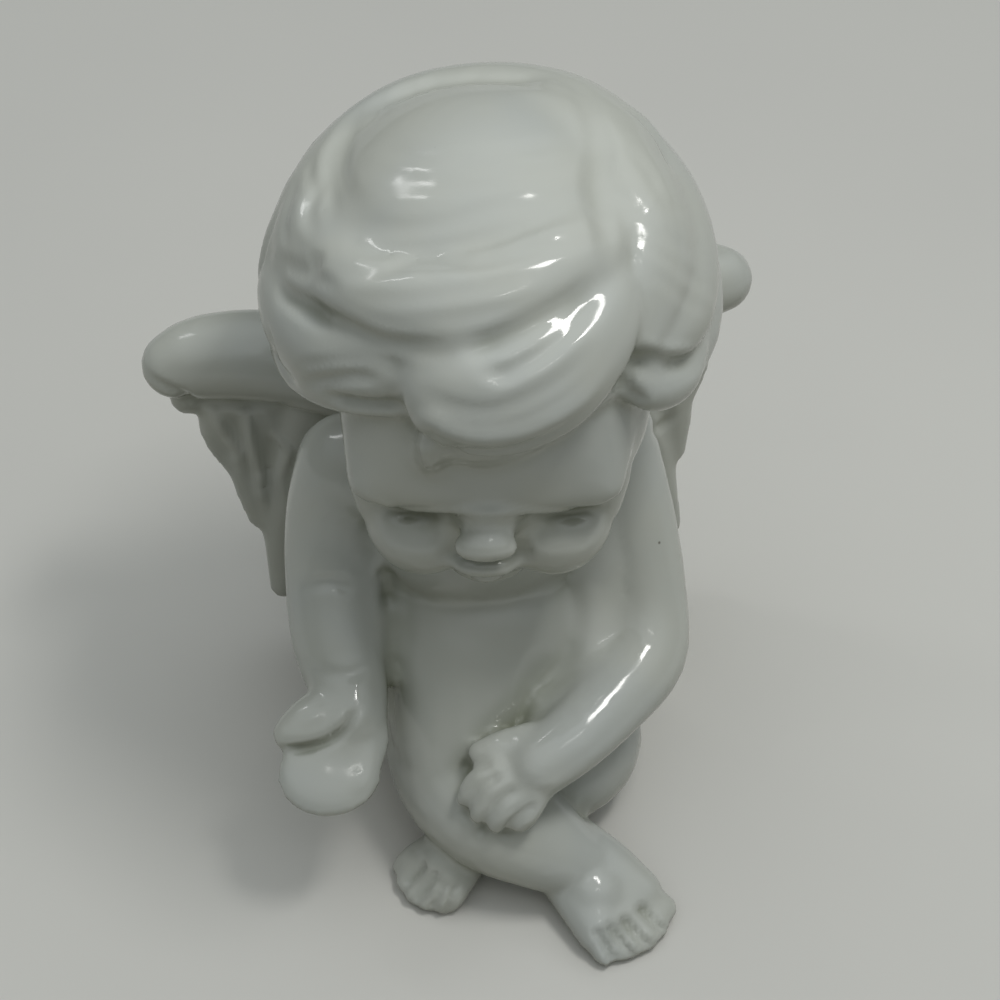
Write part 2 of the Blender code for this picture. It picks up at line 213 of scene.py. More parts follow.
@dataclass
class Arms:
    """Right arm held out with its palm up, left arm bent across to the right knee."""

    right: Rows = (
        (-16.5, 0.5, 51, 6.6), (-18.8, -1, 44, 6.3), (-20, -5, 36.5, 6.2), (-20.6, -11, 31, 5.9),
        (-20.1, -16.5, 28, 5.1), (-20.6, -20, 26.6, 4.9),
    )
    palm_edge: Rows = ((-18.8, -18, 27, 3.2), (-19, -23.4, 25, 2.7), (-20.6, -27.6, 23.2, 2.2))
    left: Rows = (
        (16.5, -1.5, 50, 6.2), (18.8, -7, 41, 5.5), (19.4, -13, 32.5, 5.4), (18, -18.5, 28, 5.6),
        (12.6, -24, 27, 5.1), (6.6, -28.6, 26, 4.5), (2, -30.6, 24.5, 4.2),
    )
    webs: tuple[Rows, ...] = (
        ((-14.2, -2, 45, 4), (-14.6, -6.2, 37, 3.6), (-15, -10.4, 31, 3.2), (-15.4, -14.4, 27.6, 2.6)),
        ((13.6, -5, 46, 4.5), (13.6, -8.6, 39, 4.6), (13.4, -12.4, 33, 4.6), (12.2, -17, 28.5, 4.6)),
        ((12.2, -17, 28.5, 4.6), (9.4, -20.4, 25.4, 4.4), (5, -22.8, 24, 3.8)),
    )
    palm: tuple[tuple[Row, Row, Row], ...] = (
        ((-22.2, -22.6, 25.8), (6.2, 6.4, 2.8), (30, 0, 0)),
        ((-24.2, -26.4, 23.8), (6.6, 5.5, 2.3), (32, 0, 0)),
    )
    right_thumb: Rows = ((-20.8, -19, 27.6, 3.6), (-25.4, -20.6, 27.8, 3.1), (-28.6, -21.9, 27.2, 2.1))
    back_of_hand: tuple[Row, Row, Row] = ((-1.6, -30.8, 22.6), (5.8, 5, 3.4), (24, 0, 0))
    left_thumb: Rows = ((1.4, -27.6, 25.4, 2.7), (-2.2, -27.6, 25, 2.3), (-5.2, -27.4, 24.2, 1.7))
    left_thumb_root: tuple[Row, Row] = ((-3.8, -29, 21.6), (3.2, 2.6, 2.8))
    fingers: tuple[Rows, ...] = (
        ((-4, -30.6, 22.6, 2.6), (-6, -30.8, 21.6, 2.3), (-6.9, -31, 20.2, 2)),
        ((-3.4, -32, 22.4, 2.6), (-5, -32.8, 21, 2.3), (-5.8, -33.2, 19.6, 1.9)),
        ((-2, -32.8, 22.2, 2.6), (-3.4, -33.9, 20.8, 2.3), (-4, -34.3, 19.2, 1.9)),
        ((0.2, -33, 22, 2.6), (-0.8, -34.2, 20.6, 2.3), (-1.4, -34.6, 19.2, 1.9)),
    )

    def lay(self, clay: Clay) -> None:
        """Lays both arms, the open mitten and the curled hand.

        Args:
            clay: The clay to add to.
        """
        for path in (self.right, self.left, self.palm_edge, *self.webs):
            clay.limb(BODY, path)
        for centre, radii, turn in self.palm:
            clay.ball(BODY, centre, radii, turn)
        clay.limb(BODY, self.right_thumb)
        centre, radii, turn = self.back_of_hand
        clay.ball(BODY, centre, radii, turn)
        clay.limb(BODY, self.left_thumb)
        clay.ball(BODY, *self.left_thumb_root)
        for finger in self.fingers:
            clay.limb(BODY, finger)


@dataclass
class Foot:
    """A foot from its heel to a fan of five toes."""

    heel: Row
    big_toe: Row
    little_toe: Row
    toe_radii: Row = (1.9, 1.7, 1.6, 1.5, 1.5)
    toe_arc: float = 1.8
    toe_web: float = 0.5
    toe_root_spare: float = 0.9
    toe_height: float = 1.7
    web_height: float = 1.6
    joint_shares: Row = (0.66, 0.7)
    joint_height: float = 2.6
    joint_radius: float = 2.9
    heel_radii: Row = (4.4, 4.0)
    instep_share: float = 0.6
    instep_rise: float = 0.8
    instep_radii: Row = (4.2, 3.6)
    sole: Rows = ((2.6, 3.6), (2, 3))

    def lay(self, clay: Clay) -> None:
        """Lays the heel, instep, ball and toes.

        Args:
            clay: The clay to add to.
        """
        heel, big_toe, little_toe = Vector(self.heel), Vector(self.big_toe), Vector(self.little_toe)
        forward = ((big_toe + little_toe) / 2 - heel).normalized()
        big_joint = heel.lerp(big_toe, self.joint_shares[0])
        little_joint = heel.lerp(little_toe, self.joint_shares[1])
        middle_joint = (big_joint + little_joint) / 2
        instep = heel.lerp(middle_joint, self.instep_share) + Vector((0, 0, self.instep_rise))
        clay.limb(BODY, ((*heel, self.heel_radii[0]), (*instep, self.instep_radii[0])))
        sole = ((*spot.xy, *row) for spot, row in zip((heel, middle_joint), self.sole))
        clay.limb(BODY, tuple(sole))
        joints = [(*joint.xy, self.joint_height, self.joint_radius) for joint in (big_joint, little_joint)]
        for joint in joints:
            clay.limb(BODY, ((*heel, self.heel_radii[1]), joint))
            clay.limb(BODY, ((*instep, self.instep_radii[1]), joint))
        clay.limb(BODY, tuple(joints))
        tips = []
        for index, radius in enumerate(self.toe_radii):
            share = index / (len(self.toe_radii) - 1)
            reach = self.toe_arc * math.sin(math.pi * share) - radius
            tip = big_toe.lerp(little_toe, share) + forward * reach
            root = big_joint.lerp(little_joint, share)
            from_root = (*root.xy, self.joint_height, radius + self.toe_root_spare)
            clay.limb(BODY, (from_root, (*tip.xy, self.toe_height, radius)))
            back_x, back_y = forward.x * self.toe_web, forward.y * self.toe_web
            tips.append((tip.x - back_x, tip.y - back_y, self.web_height, radius))
        clay.limb(BODY, tuple(tips))


@dataclass
class Legs:
    """Both legs, the right shin crossed in front of the left one."""

    right: Rows = (
        (-8, 0, 10.5, 10), (-6.4, -12, 11, 9.6), (-6.2, -21, 12, 9.2), (-3.6, -27.4, 11.6, 8.2),
        (1.4, -31.4, 9, 6.4), (6, -33.6, 6, 4.9),
    )
    left: Rows = (
        (8, 0, 10.5, 10), (10, -11, 10.5, 8.8), (9.8, -18.5, 10, 8.2), (3, -23, 8, 6.4), (-4, -26, 6, 5),
        (-8, -27.5, 4.8, 4.3),
    )
    lap: Rows = ((-2.5, -9, 25, 13), (-4.2, -16, 18, 11), (-5.5, -21, 13, 9))
    ankle: Rows = ((6.6, -32, 6, 4.4), (10.4, -34.8, 4.6, 3.8), (14.2, -38.2, 3.2, 2.8))
    right_foot: Foot = field(
        default_factory=lambda: Foot((4.6, -33.0, 4.4), (17.8, -41.8, 2.0), (8.6, -46.9, 2.0))
    )
    left_foot: Foot = field(
        default_factory=lambda: Foot((-7.0, -27.0, 4.2), (-16.8, -28.4, 2.0), (-12.4, -35.0, 2.0))
    )

    def lay(self, clay: Clay) -> None:
        """Lays thighs, shins, lap, the front ankle and the feet.

        Args:
            clay: The clay to add to.
        """
        for path in (self.right, self.left, self.lap, self.ankle):
            clay.limb(BODY, path)
        self.right_foot.lay(clay)
        self.left_foot.lay(clay)


@dataclass
class Head:
    """Skull and face, bowed and turned to the figure's right."""

    centre: Row = (0.1, -5.0, 81.0)
    turn: float = -11.0
    nod: float = 6.0
    skull: tuple[tuple[Row, Row], ...] = (
        ((0.6, -1, 2), (20.5, 20.5, 20)),
        ((1.0, -8, -8), (18.2, 14.8, 17)),
        ((1.0, -10, -14), (14.8, 12.2, 12.6)),
        ((0, -24.2, -14.7), (4.0, 2.2, 1.8)),
        ((0, -18.5, -22.4), (6.2, 3.8, 4)),
        ((0.2, -16.4, -26.6), (5.4, 4.2, 3.6)),
    )
    paired: tuple[tuple[Row, Row], ...] = (
        ((7.6, -14.9, -20.3), (7.3, 7.8, 8)),
        ((7.0, -18.4, -12.8), (3.6, 2.4, 2.2)),
    )
    paired_shift: float = 0.3
    brow: Rows = ((-12.4, -17.9, -9.7, 3.4), (0.4, -19.7, -8.4, 3.4), (12.6, -18.0, -9.8, 3.4))
    forehead: tuple[Row, Row] = ((0.8, -2.5, 1), (19.2, 18, 17))
    temple: Rows = ((12.7, -13.4, -8.6, 3.9), (12.5, -14.2, -13, 4.2), (11.6, -14.6, -17.6, 4.4))
    limbs: tuple[Rows, ...] = (
        ((0.6, -20.0, -9.4, 3.2), (0.2, -22.2, -12.8, 3.0)),
        ((-3.6, -21.1, -21.5, 1.2), (0, -22.2, -21.5, 1.5), (3.6, -21.1, -21.5, 1.2)),
        ((-2.6, -20.7, -23.6, 1.1), (0, -21.6, -23.8, 1.4), (2.6, -20.7, -23.6, 1.1)),
    )

    def place(self) -> Matrix:
        """Works out where the head is.

        Returns:
            The matrix from the head's own frame to the figure's.
        """
        turn = Matrix.Rotation(math.radians(self.turn), 4, "Z")
        nod = Matrix.Rotation(math.radians(self.nod), 4, "X")
        return Matrix.Translation(self.centre) @ turn @ nod

    def lay(self, clay: Clay) -> None:
        """Lays skull, chin, cheeks, temples, nose, lips and forehead.

        Args:
            clay: The clay to add to.
        """
        for centre, radii in self.skull:
            clay.ball(self.place(), centre, radii)
        for side in Side:
            for (x, y, z), radii in self.paired:
                clay.ball(self.place(), (self.paired_shift + side.value * x, y, z), radii)
            temple = tuple((self.paired_shift + side.value * x, *rest) for x, *rest in self.temple)
            clay.limb(self.place(), temple)
        for path in self.limbs:
            clay.limb(self.place(), path)
        centre, radii = self.forehead
        balls = [Matrix.Translation(centre) @ Matrix.Diagonal((*radii, 1.0))]
        for x, y, z, radius in self.brow:
            balls.append(Matrix.Translation((x, y, z)) @ Matrix.Scale(radius, 4))
        clay.hull([self.place() @ ball for ball in balls])


@dataclass(frozen=True)
class Lock:
    """A lock of hair: stations of longitude, latitude, lift, half-width and half-thickness."""

    stations: Rows
    strands: int = 0


@dataclass
class Hair:
    """Hair cap and its locks: a smooth crown, a roll round it, and one big forelock."""

    head: Head
    centre: Vector = field(default_factory=lambda: Vector((0.4, 2.2, 0.8)))
    radii: Vector = field(default_factory=lambda: Vector((22.6, 23.2, 20.9)))
    dome: tuple[Row, Row] = ((0.4, 2.2, 2.9), (22.2, 22.8, 20.6))
    roll: Lock = Lock((
        (-66, 25, 0.6, 5, 2.6), (-90, 24, 0.5, 6.5, 3), (-120, 24, 0.5, 7, 3), (-150, 26, 0.6, 7.5, 3),
        (-180, 30, 0.4, 7.5, 3), (-210, 34, 0.8, 7, 3), (-238, 40, 1, 6.5, 3),
    ))
    front: Lock = Lock((
        (58, 50, 0.4, 4, 2.4), (36, 52, 1.2, 5, 2.8), (8, 47, 1.7, 5.6, 3), (-20, 42, 1.8, 5.4, 3),
        (-48, 37, 1.6, 4.6, 2.8), (-76, 33, 0.4, 3.6, 2.6),
    ))
    forelock: Lock = Lock((
        (48, 40, 0.4, 3.4, 2.6), (39, 34, 1.2, 4.6, 3.2), (26, 29, 1.8, 6, 3.8), (12, 23.5, 2.2, 7, 4.2),
        (-2, 20.5, 2.2, 6.8, 4.2), (-12, 21.5, 1.6, 5, 3.6), (-18, 25, 0.8, 3, 2.6),
    ))
    underside: Lock = Lock((
        (40, 13.5, -0.6, 3, 1.8), (24, 10.5, -0.4, 3, 2), (12, 4.5, -0.2, 3, 2.2), (0, -1, 0, 3, 2.2),
        (-10, 0, -0.2, 2.6, 2), (-16, 6, -0.6, 2, 1.6),
    ))
    wisp: Lock = Lock((
        (-14, 8, 1.2, 2.4, 2.2), (-15.5, -3, 1.3, 2, 1.8), (-16.5, -12, 1.2, 1.5, 1.4),
        (-17.5, -19, 0.9, 1, 1),
    ))
    temples: tuple[Lock, ...] = (
        Lock((
            (-22, 23, 0, 2.6, 2.2), (-40, 19, 1, 4.2, 2.8), (-58, 12, 1.4, 5, 3.2),
            (-78, 6, 1.2, 5.4, 3.2), (-96, 2, 0.8, 5, 3),
        )),
        Lock((
            (-24, 13, 0, 2.4, 2), (-42, 7, 0.8, 3.2, 2.6), (-60, -2, 1.2, 3.8, 2.8),
            (-78, -10, 1, 4, 2.8), (-94, -16, 0.4, 3.4, 2.4),
        )),
    )
    left_side: tuple[Lock, ...] = (
        Lock((
            (146, 54, 0, 5, 2.6), (112, 48, 0.6, 6, 3), (84, 40, 1, 6, 3.2), (66, 32, 1.2, 5.4, 3.2),
            (52, 23, 0.8, 3.6, 2.8),
        )),
        Lock((
            (140, 32, 0, 6, 2.6), (114, 26, 0.8, 6.4, 3), (90, 20, 1.2, 6, 3.2), (70, 15, 1.5, 5.2, 3.2),
            (54, 15, 0.8, 3.6, 2.8),
        )),
        Lock((
            (128, 8, 0.4, 6, 2.8), (106, 0, 1.2, 5.6, 3), (84, -6, 1.6, 4.8, 3.2),
            (66, -10, 1.4, 3.6, 2.8),
        )),
        Lock(((76, -2, 1.2, 3, 2.4), (60, -2, 2, 3.4, 2.8), (50, 2, 1.8, 3, 2.4), (44, 8, 0.8, 2.2, 2))),
    )
    nape_starts: Row = (136, 166, 196, 226, 256)
    nape_wave: Rows = (
        (0, 22, 0.6, 6.5, 3), (12, 4, 1, 6, 3.2), (6, -16, 0.6, 5, 3), (-6, -34, -0.8, 3.4, 2.4),
    )
    nape_strands: int = 3

    def nape(self) -> list[Lock]:
        """Makes the wavy locks down the back of the head.

        Returns:
            The locks, from the figure's left to its right.
        """
        return [
            Lock(tuple((start + swing, *rest) for swing, *rest in self.nape_wave), self.nape_strands)
            for start in self.nape_starts
        ]

    def locks(self) -> list[Lock]:
        """Lists every lock of the head.

        Returns:
            The locks, from the crown down to the nape.
        """
        single = (self.roll, self.front, self.forelock, self.underside, self.wisp)
        return [*single, *self.temples, *self.left_side, *self.nape()]

    def on_cap(self, longitude: float, latitude: float, lift: float) -> Vector:
        """Finds a point over the hair cap.

        Args:
            longitude: Degrees from the face, growing to the figure's left.
            latitude: Degrees above the cap's middle.
            lift: Units outward from the cap.

        Returns:
            The point in the head's own frame.
        """
        lon, lat = math.radians(longitude), math.radians(latitude)
        radii = self.radii + Vector((lift, lift, lift))
        return self.centre + Vector(
            (
                radii.x * math.cos(lat) * math.sin(lon),
                -radii.y * math.cos(lat) * math.cos(lon),
                radii.z * math.sin(lat),
            )
        )

    def off_cap(self, point: Vector) -> Vector:
        """The outward direction of the hair cap at a point."""
        offset = point - self.centre
        return Vector([o / (r * r) for o, r in zip(offset, self.radii)]).normalized()

    def lay(self, clay: Clay) -> None:
        """Lays the cap and every lock.

        Args:
            clay: The clay to add to.
        """
        clay.ball(self.head.place(), tuple(self.centre), tuple(self.radii))
        clay.ball(self.head.place(), *self.dome)
        for lock in self.locks():
            path = tuple(
                (*self.on_cap(longitude, latitude, lift), width, thickness)
                for longitude, latitude, lift, width, thickness in lock.stations
            )
            clay.band(self.head.place(), path, self.off_cap)


@dataclass
class Wing:
    """One wing: a thick ridge, five feathers that hang from it and a thin vane behind them."""

    side: Side
    pivot: Vector = field(default_factory=lambda: Vector((36.0, 20.0, 54.0)))
    opening: float = 7.0
    lift: Vector = field(default_factory=lambda: Vector((0.0, 0.0, 2.2)))
    facing: Vector = field(default_factory=lambda: Vector((0.15, -1.0, 0.1)).normalized())
    ridge: Rows = (
        (-6, 12, 46.4, 5), (-14, 16, 50.7, 5.8), (-24, 19, 53.4, 6), (-32, 20, 53.8, 5.5),
        (-36, 20, 53.2, 4.4),
    )
    feathers: tuple[Rows, ...] = (
        ((-33, 20, 51, 4.4, 2.6), (-34.5, 20, 47.5, 3, 1.8), (-34.5, 20, 46, 1.8, 1.2)),
        ((-28, 20, 51, 4.6, 2.8), (-29.8, 20, 41.5, 4.4, 2.4), (-28.8, 19.5, 33.2, 2.4, 1.5)),
        ((-23, 19.5, 51, 4.8, 2.8), (-26.4, 19.5, 35.5, 4.6, 2.6), (-27, 18.5, 24, 2.2, 1.6)),
        ((-16.5, 18, 50, 5, 3), (-22, 18.5, 30, 4.8, 2.8), (-24.8, 16.5, 11, 2.4, 1.6)),
        ((-10, 15, 48, 5, 3.2), (-14, 16.5, 28, 5, 3), (-18.5, 16, 8, 3, 1.8)),
    )
    vane: Rows = (
        (-23, 19.6, 48, 8.5, 1.9), (-25, 19.4, 37, 6.6, 1.8), (-23.6, 18.6, 24, 4.6, 1.6),
        (-22.6, 17.2, 12, 3, 1.4),
    )

    def place(self) -> Matrix:
        """Works out where the wing is.

        Returns:
            The matrix from the right wing's forms to this wing.
        """
        if self.side is Side.RIGHT:
            return BODY
        mirror = Matrix.Diagonal((-1, 1, 1, 1))
        open_out = Matrix.Rotation(math.radians(-self.opening), 4, "Y")
        lifted = Matrix.Translation(self.pivot + self.lift)
        return lifted @ open_out @ Matrix.Translation(-self.pivot) @ mirror

    def lay(self, clay: Clay) -> None:
        """Lays the ridge, the vane behind the feathers and the feathers.

        Args:
            clay: The clay to add to.
        """
        clay.limb(self.place(), self.ridge)
        hidden = 0 if self.side is Side.RIGHT else 1
        for feather in (self.vane, *self.feathers[hidden:]):
            clay.band(self.place(), feather, lambda point: self.facing)


@dataclass(frozen=True)
class Sight:
    """The photograph's point of view, in units, and its picture plane in thousandths."""

    azimuth: float = -11.0
    elevation: float = 48.0
    distance: float = 300.0
    target: Row = (0.8, -10.0, 52.0)
    focal: float = 2438.0
    middle: float = 500.0

    def axes(self) -> tuple[Vector, Vector, Vector]:
        """Works out the picture's axes.

        Returns:
            The picture's right, its up, and the way back to the eye.
        """
        a, e = math.radians(self.azimuth), math.radians(self.elevation)
        back = Vector((math.sin(a) * math.cos(e), -math.cos(a) * math.cos(e), math.sin(e)))
        right = Vector((math.cos(a), math.sin(a), 0.0))
        return right, back.cross(right), back

    def eye(self) -> Vector:
        """Where the eye is."""
        return Vector(self.target) + self.axes()[2] * self.distance

    def toward(self, x: float, y: float) -> Vector:
        """Looks through a point of the picture.

        Args:
            x: How far right the point is.
            y: How far down it is.

        Returns:
            The direction from the eye through it.
        """
        right, up, back = self.axes()
        across = right * ((x - self.middle) / self.focal)
        upward = up * ((self.middle - y) / self.focal)
        return (across + upward - back).normalized()


@dataclass(frozen=True)
class Stroke:
    """A stroke of the modelling tool as the front view shows it.

    Its path is in thousandths of the picture; width is its reach to each side and depth how far it
    lifts the skin, both in units. A negative depth cuts a groove. Ease is the share of the path
    over which each end fades in.
    """

    path: Rows
    width: float
    depth: float
    ease: float = 0.3


Strokes = tuple[Stroke, ...]


class Sculptor:
    """Carves strokes into a fine skin, all in units.

    The constants say how strong a stroke is at its very ends, how its path is evened and filled in,
    and how finely, how wide and from how far out a strand is laid.
    """

    END_SHARE = 0.12
    EVENING_ROUNDS = 4
    SPACING = 0.35
    STEPS_SEEN = 24
    STRAND_STEPS = 20
    STRAND_WIDTH = 1.1
    STRAND_START = 8

    def __init__(self, skin: bmesh.types.BMesh) -> None:
        """Reads the skin once, so that every stroke lands on the uncarved form.

        Args:
            skin: The skin to carve.
        """
        self.skin = skin
        skin.verts.ensure_lookup_table()
        skin.normal_update()
        self.places = [v.co.copy() for v in skin.verts]
        self.normals = [v.normal.copy() for v in skin.verts]
        self.shapes = BVHTree.FromBMesh(skin)
        self.tree = KDTree(len(self.places))
        for index, place in enumerate(self.places):
            self.tree.insert(place, index)
        self.tree.balance()
        self.moves = [0.0] * len(self.places)

    def carve(self, path: Sequence[Vector], width: float, depth: float, ease: float = Stroke.ease) -> None:
        """Lifts or sinks the skin along a path.

        Args:
            path: Points on the skin.
            width: Reach to each side of the path.
            depth: How far the skin is lifted on the path itself.
            ease: The share of the path over which each end fades in.
        """
        falls: dict[int, float] = {}
        for index, point in enumerate(path):
            share = index / max(1, len(path) - 1)
            fade = min(1.0, min(share, 1.0 - share) / ease + self.END_SHARE)
            fade = fade * fade * (3 - 2 * fade)
            for _, vertex, gap in self.tree.find_range(point, width):
                fall = fade * (1 - (gap / width) ** 2) ** 2
                if fall > falls.get(vertex, 0.0):
                    falls[vertex] = fall
        for vertex, fall in falls.items():
            self.moves[vertex] += depth * fall

    def dense(self, path: Sequence[Vector], width: float) -> list[Vector]:
        """Evens a path out and fills it in, so that its points are closer together than its width.

        Args:
            path: The path's points.
            width: The stroke's reach to each side.

        Returns:
            The points of the evened path.
        """
        for _ in range(self.EVENING_ROUNDS):
            inner = [(a + b + c) / 3 for a, b, c in zip(path, path[1:], path[2:])]
            path = [path[0], *inner, path[-1]]
        filled = []
        for a, b in zip(path, path[1:]):
            count = max(1, math.ceil((b - a).length / (self.SPACING * width)))
            filled.extend(a.lerp(b, step / count) for step in range(count))
        return [*filled, path[-1]]

    def seen(self, stroke: Stroke, sight: Sight) -> None:
        """Carves a stroke where the front view shows it.

        Args:
            stroke: The stroke, in thousandths of the picture.
            sight: The point of view it was read from.
        """
        eye = sight.eye()
        points = []
        for x, y in smooth_between(stroke.path, self.STEPS_SEEN):
            place = self.shapes.ray_cast(eye, sight.toward(x, y))[0]
            if place is not None:
                points.append(place)
        if len(points) > 1:
            self.carve(self.dense(points, stroke.width), stroke.width, stroke.depth, stroke.ease)

    def strands(self, hair: Hair, lock: Lock, depth: float) -> None:
        """Carves fine strands along a lock.

        Args:
            hair: The head of hair that the lock is on.
            lock: The lock.
            depth: How far each strand line is cut in.
        """
        place = hair.head.place()
        middle = place @ hair.centre
        rows = smooth_between(lock.stations, self.STRAND_STEPS)
        spots = [hair.on_cap(row[0], row[1], row[2] + self.STRAND_START) for row in rows]
        for index in range(lock.strands):
            share = (index + 1) / (lock.strands + 1) * 2 - 1
            points = []
            for number, (row, spot) in enumerate(zip(rows, spots)):
                ahead = spots[min(number + 1, len(spots) - 1)] - spots[max(number - 1, 0)]
                across = hair.off_cap(spot).cross(ahead).normalized()
                start = place @ (spot + across * (share * row[3]))
                found = self.shapes.ray_cast(start, (middle - start).normalized())[0]
                if found is not None:
                    points.append(found)
            if len(points) > 1:
                self.carve(self.dense(points, self.STRAND_WIDTH), self.STRAND_WIDTH, depth)

    def near(self, path: Sequence[Vector], width: float, depth: float) -> None:
        """Carves a stroke given in space, at the nearest places of the skin."""
        points = [self.shapes.find_nearest(p)[0] for p in path]
        self.carve(self.dense(points, width), width, depth)

    def finish(self) -> list[float]:
        """Moves the skin by what was carved.

        Returns:
            How far each vertex was moved outward, in units.
        """
        for vertex, place, normal, move in zip(self.skin.verts, self.places, self.normals, self.moves):
            vertex.co = place + normal * move
        return self.moves


def alike(paths: Sequence[Rows], width: float, depth: float, ease: float = Stroke.ease) -> Strokes:
    """Strokes of one width, depth and ease along several paths."""
    return tuple(Stroke(path, width, depth, ease) for path in paths)


@dataclass
class FrontCarving:
    """Every stroke that the front view shows, from the crown down to the toes, then the wing."""

    crown: Strokes = (
        Stroke((
            (374, 216), (353, 199), (342, 181), (341, 151), (348, 125), (361, 110), (392, 97), (435, 86),
            (478, 81), (522, 82), (560, 92), (585, 108),
        ), 2.2, -0.35),
        Stroke(((330, 262), (360, 274), (420, 262), (480, 262), (545, 246), (596, 236)), 1.9, -0.35),
    )
    combed: Strokes = alike(
        (
            ((378, 150), (430, 158), (500, 154), (570, 140)),
            ((372, 170), (420, 176), (480, 168), (560, 170)),
            ((376, 192), (410, 187), (470, 186), (540, 176), (590, 160)),
            ((352, 222), (400, 228), (450, 222), (500, 205), (560, 196)),
            ((345, 240), (375, 253), (430, 250), (490, 240), (545, 222), (590, 205)),
            ((320, 285), (370, 300), (430, 297), (500, 285), (560, 270)),
            ((300, 290), (350, 315), (400, 333), (440, 338)),
            ((335, 305), (390, 322), (450, 318), (520, 305), (580, 280)),
        ),
        width=1.7, depth=-0.17,
    )
    roll: Strokes = (
        Stroke((
            (279, 262), (281, 290), (291, 299), (305, 307), (327, 318), (353, 331), (379, 342),
            (405, 347), (431, 348), (452, 346),
        ), 1.9, -0.8),
        Stroke(((279, 259), (290, 266), (305, 272), (320, 280), (337, 288)), 1.5, -0.4),
        Stroke(((315, 153), (309, 172), (315, 190), (308, 214), (316, 236)), 1.5, -0.32),
        Stroke(((297, 176), (290, 200), (284, 224), (288, 246)), 1.3, -0.25),
        Stroke(((331, 138), (326, 162), (329, 190), (338, 212)), 1.3, -0.22),
        Stroke(((310, 262), (318, 263)), 1.6, -0.5),
        Stroke(((289, 296), (290, 299)), 1.6, -0.7),
        Stroke(((268, 330), (274, 352), (284, 372), (296, 384)), 1.4, -0.4),
        Stroke(((306, 384), (326, 381), (350, 378), (376, 379)), 1.5, -0.7),
        Stroke(((298, 368), (322, 364), (346, 362), (368, 364)), 1.3, -0.3),
        Stroke(((326, 399), (352, 405), (380, 408), (402, 404)), 1.8, -1.2),
    )
    forelock: Strokes = (
        Stroke((
            (407, 404), (417, 424), (431, 421), (450, 431), (480, 438), (520, 433), (556, 417),
            (588, 394), (610, 366),
        ), 2.0, 0.55),
        Stroke((
            (401, 396), (406, 416), (415, 432), (432, 443), (452, 450), (480, 453), (512, 451),
            (540, 440), (568, 424),
        ), 1.5, -0.5),
        Stroke(((468, 350), (492, 343), (530, 325), (572, 302), (594, 284)), 2.2, -0.75),
        Stroke(((480, 366), (500, 374), (520, 366), (548, 348), (580, 318), (600, 298)), 1.8, -0.55),
        Stroke(((424, 392), (448, 405), (486, 411), (524, 400), (562, 378), (594, 348)), 1.5, -0.3),
        Stroke(((424, 440), (427, 455), (431, 468)), 1.1, 0.5),
    )
    left_hair: Strokes = (
        Stroke(((579, 83), (590, 111), (602, 144), (594, 188), (606, 236), (606, 262)), 2.3, -0.5),
        Stroke(((622, 104), (641, 118), (660, 142), (672, 170)), 1.6, -0.3),
        Stroke(((628, 150), (648, 172), (664, 200), (690, 214)), 1.5, -0.14),
        Stroke(((620, 196), (644, 214), (668, 236), (700, 254)), 1.5, -0.14),
        Stroke(((626, 228), (650, 246), (684, 272), (716, 292)), 1.3, -0.12),
        Stroke(((650, 262), (668, 284), (690, 302), (712, 312)), 1.3, -0.12),
        Stroke(((632, 100), (642, 106), (648, 116)), 1.6, -0.45),
        Stroke(((684, 150), (690, 160), (692, 172)), 1.6, -0.45),
        Stroke(((714, 232), (722, 244), (724, 258)), 1.6, -0.45),
        Stroke(((640, 352), (652, 359), (668, 362), (686, 362), (700, 358)), 2.2, -0.5),
        Stroke(((640, 340), (654, 347), (676, 351), (700, 349)), 1.3, 0.35),
        Stroke(((620, 378), (628, 392), (640, 402)), 1.8, -0.8),
        Stroke(((646, 436), (662, 426), (680, 412)), 1.4, -0.4),
    )
    face: Strokes = (
        Stroke((
            (366, 496), (386, 504), (410, 508), (450, 510), (500, 511), (560, 510), (604, 506),
        ), 1.1, 0.35),
        Stroke(((386, 512), (406, 516), (434, 518), (456, 517)), 1.7, -1.0),
        Stroke(((522, 518), (546, 519), (574, 518), (602, 513)), 1.7, -1.0),
        Stroke(((396, 523), (420, 527), (444, 525)), 3.6, -1.0),
        Stroke(((534, 526), (558, 528), (590, 523)), 3.6, -1.0),
        Stroke(((446, 541), (446, 552), (450, 560)), 1.4, -0.4),
        Stroke(((526, 541), (526, 552), (521, 560)), 1.4, -0.4),
        Stroke(((458, 528), (485, 531), (513, 528)), 1.8, -0.5),
        Stroke(((458, 547), (485, 551), (512, 547)), 2.0, 0.6),
        Stroke(((454, 563), (484, 567), (516, 563)), 1.7, 1.1),
        Stroke(((458, 573), (484, 578), (512, 573)), 0.9, -0.5),
    )
    creases: Strokes = (
        Stroke(((300, 590), (318, 583), (336, 583), (354, 589)), 1.6, -0.4),
        Stroke(((304, 664), (322, 672), (346, 675), (368, 668)), 1.4, -0.28),
        Stroke(((384, 572), (388, 584), (390, 604)), 1.8, -0.9),
        Stroke(((388, 590), (390, 626), (391, 660), (392, 700), (391, 730)), 1.5, -0.4, 0.2),
        Stroke(((400, 598), (440, 606), (490, 608), (540, 600)), 2.4, -0.12),
        Stroke(((596, 568), (606, 592), (609, 622), (604, 650)), 2.8, -0.3),
    )
    right_palm: Strokes = (
        Stroke(((284, 750), (306, 748), (328, 741), (346, 727), (356, 708)), 1.05, -0.85, 0.2),
        Stroke(((290, 741), (310, 737), (330, 729), (345, 715)), 1.7, 0.4),
        Stroke(((306, 776), (334, 772), (360, 756)), 5.5, -0.3),
    )
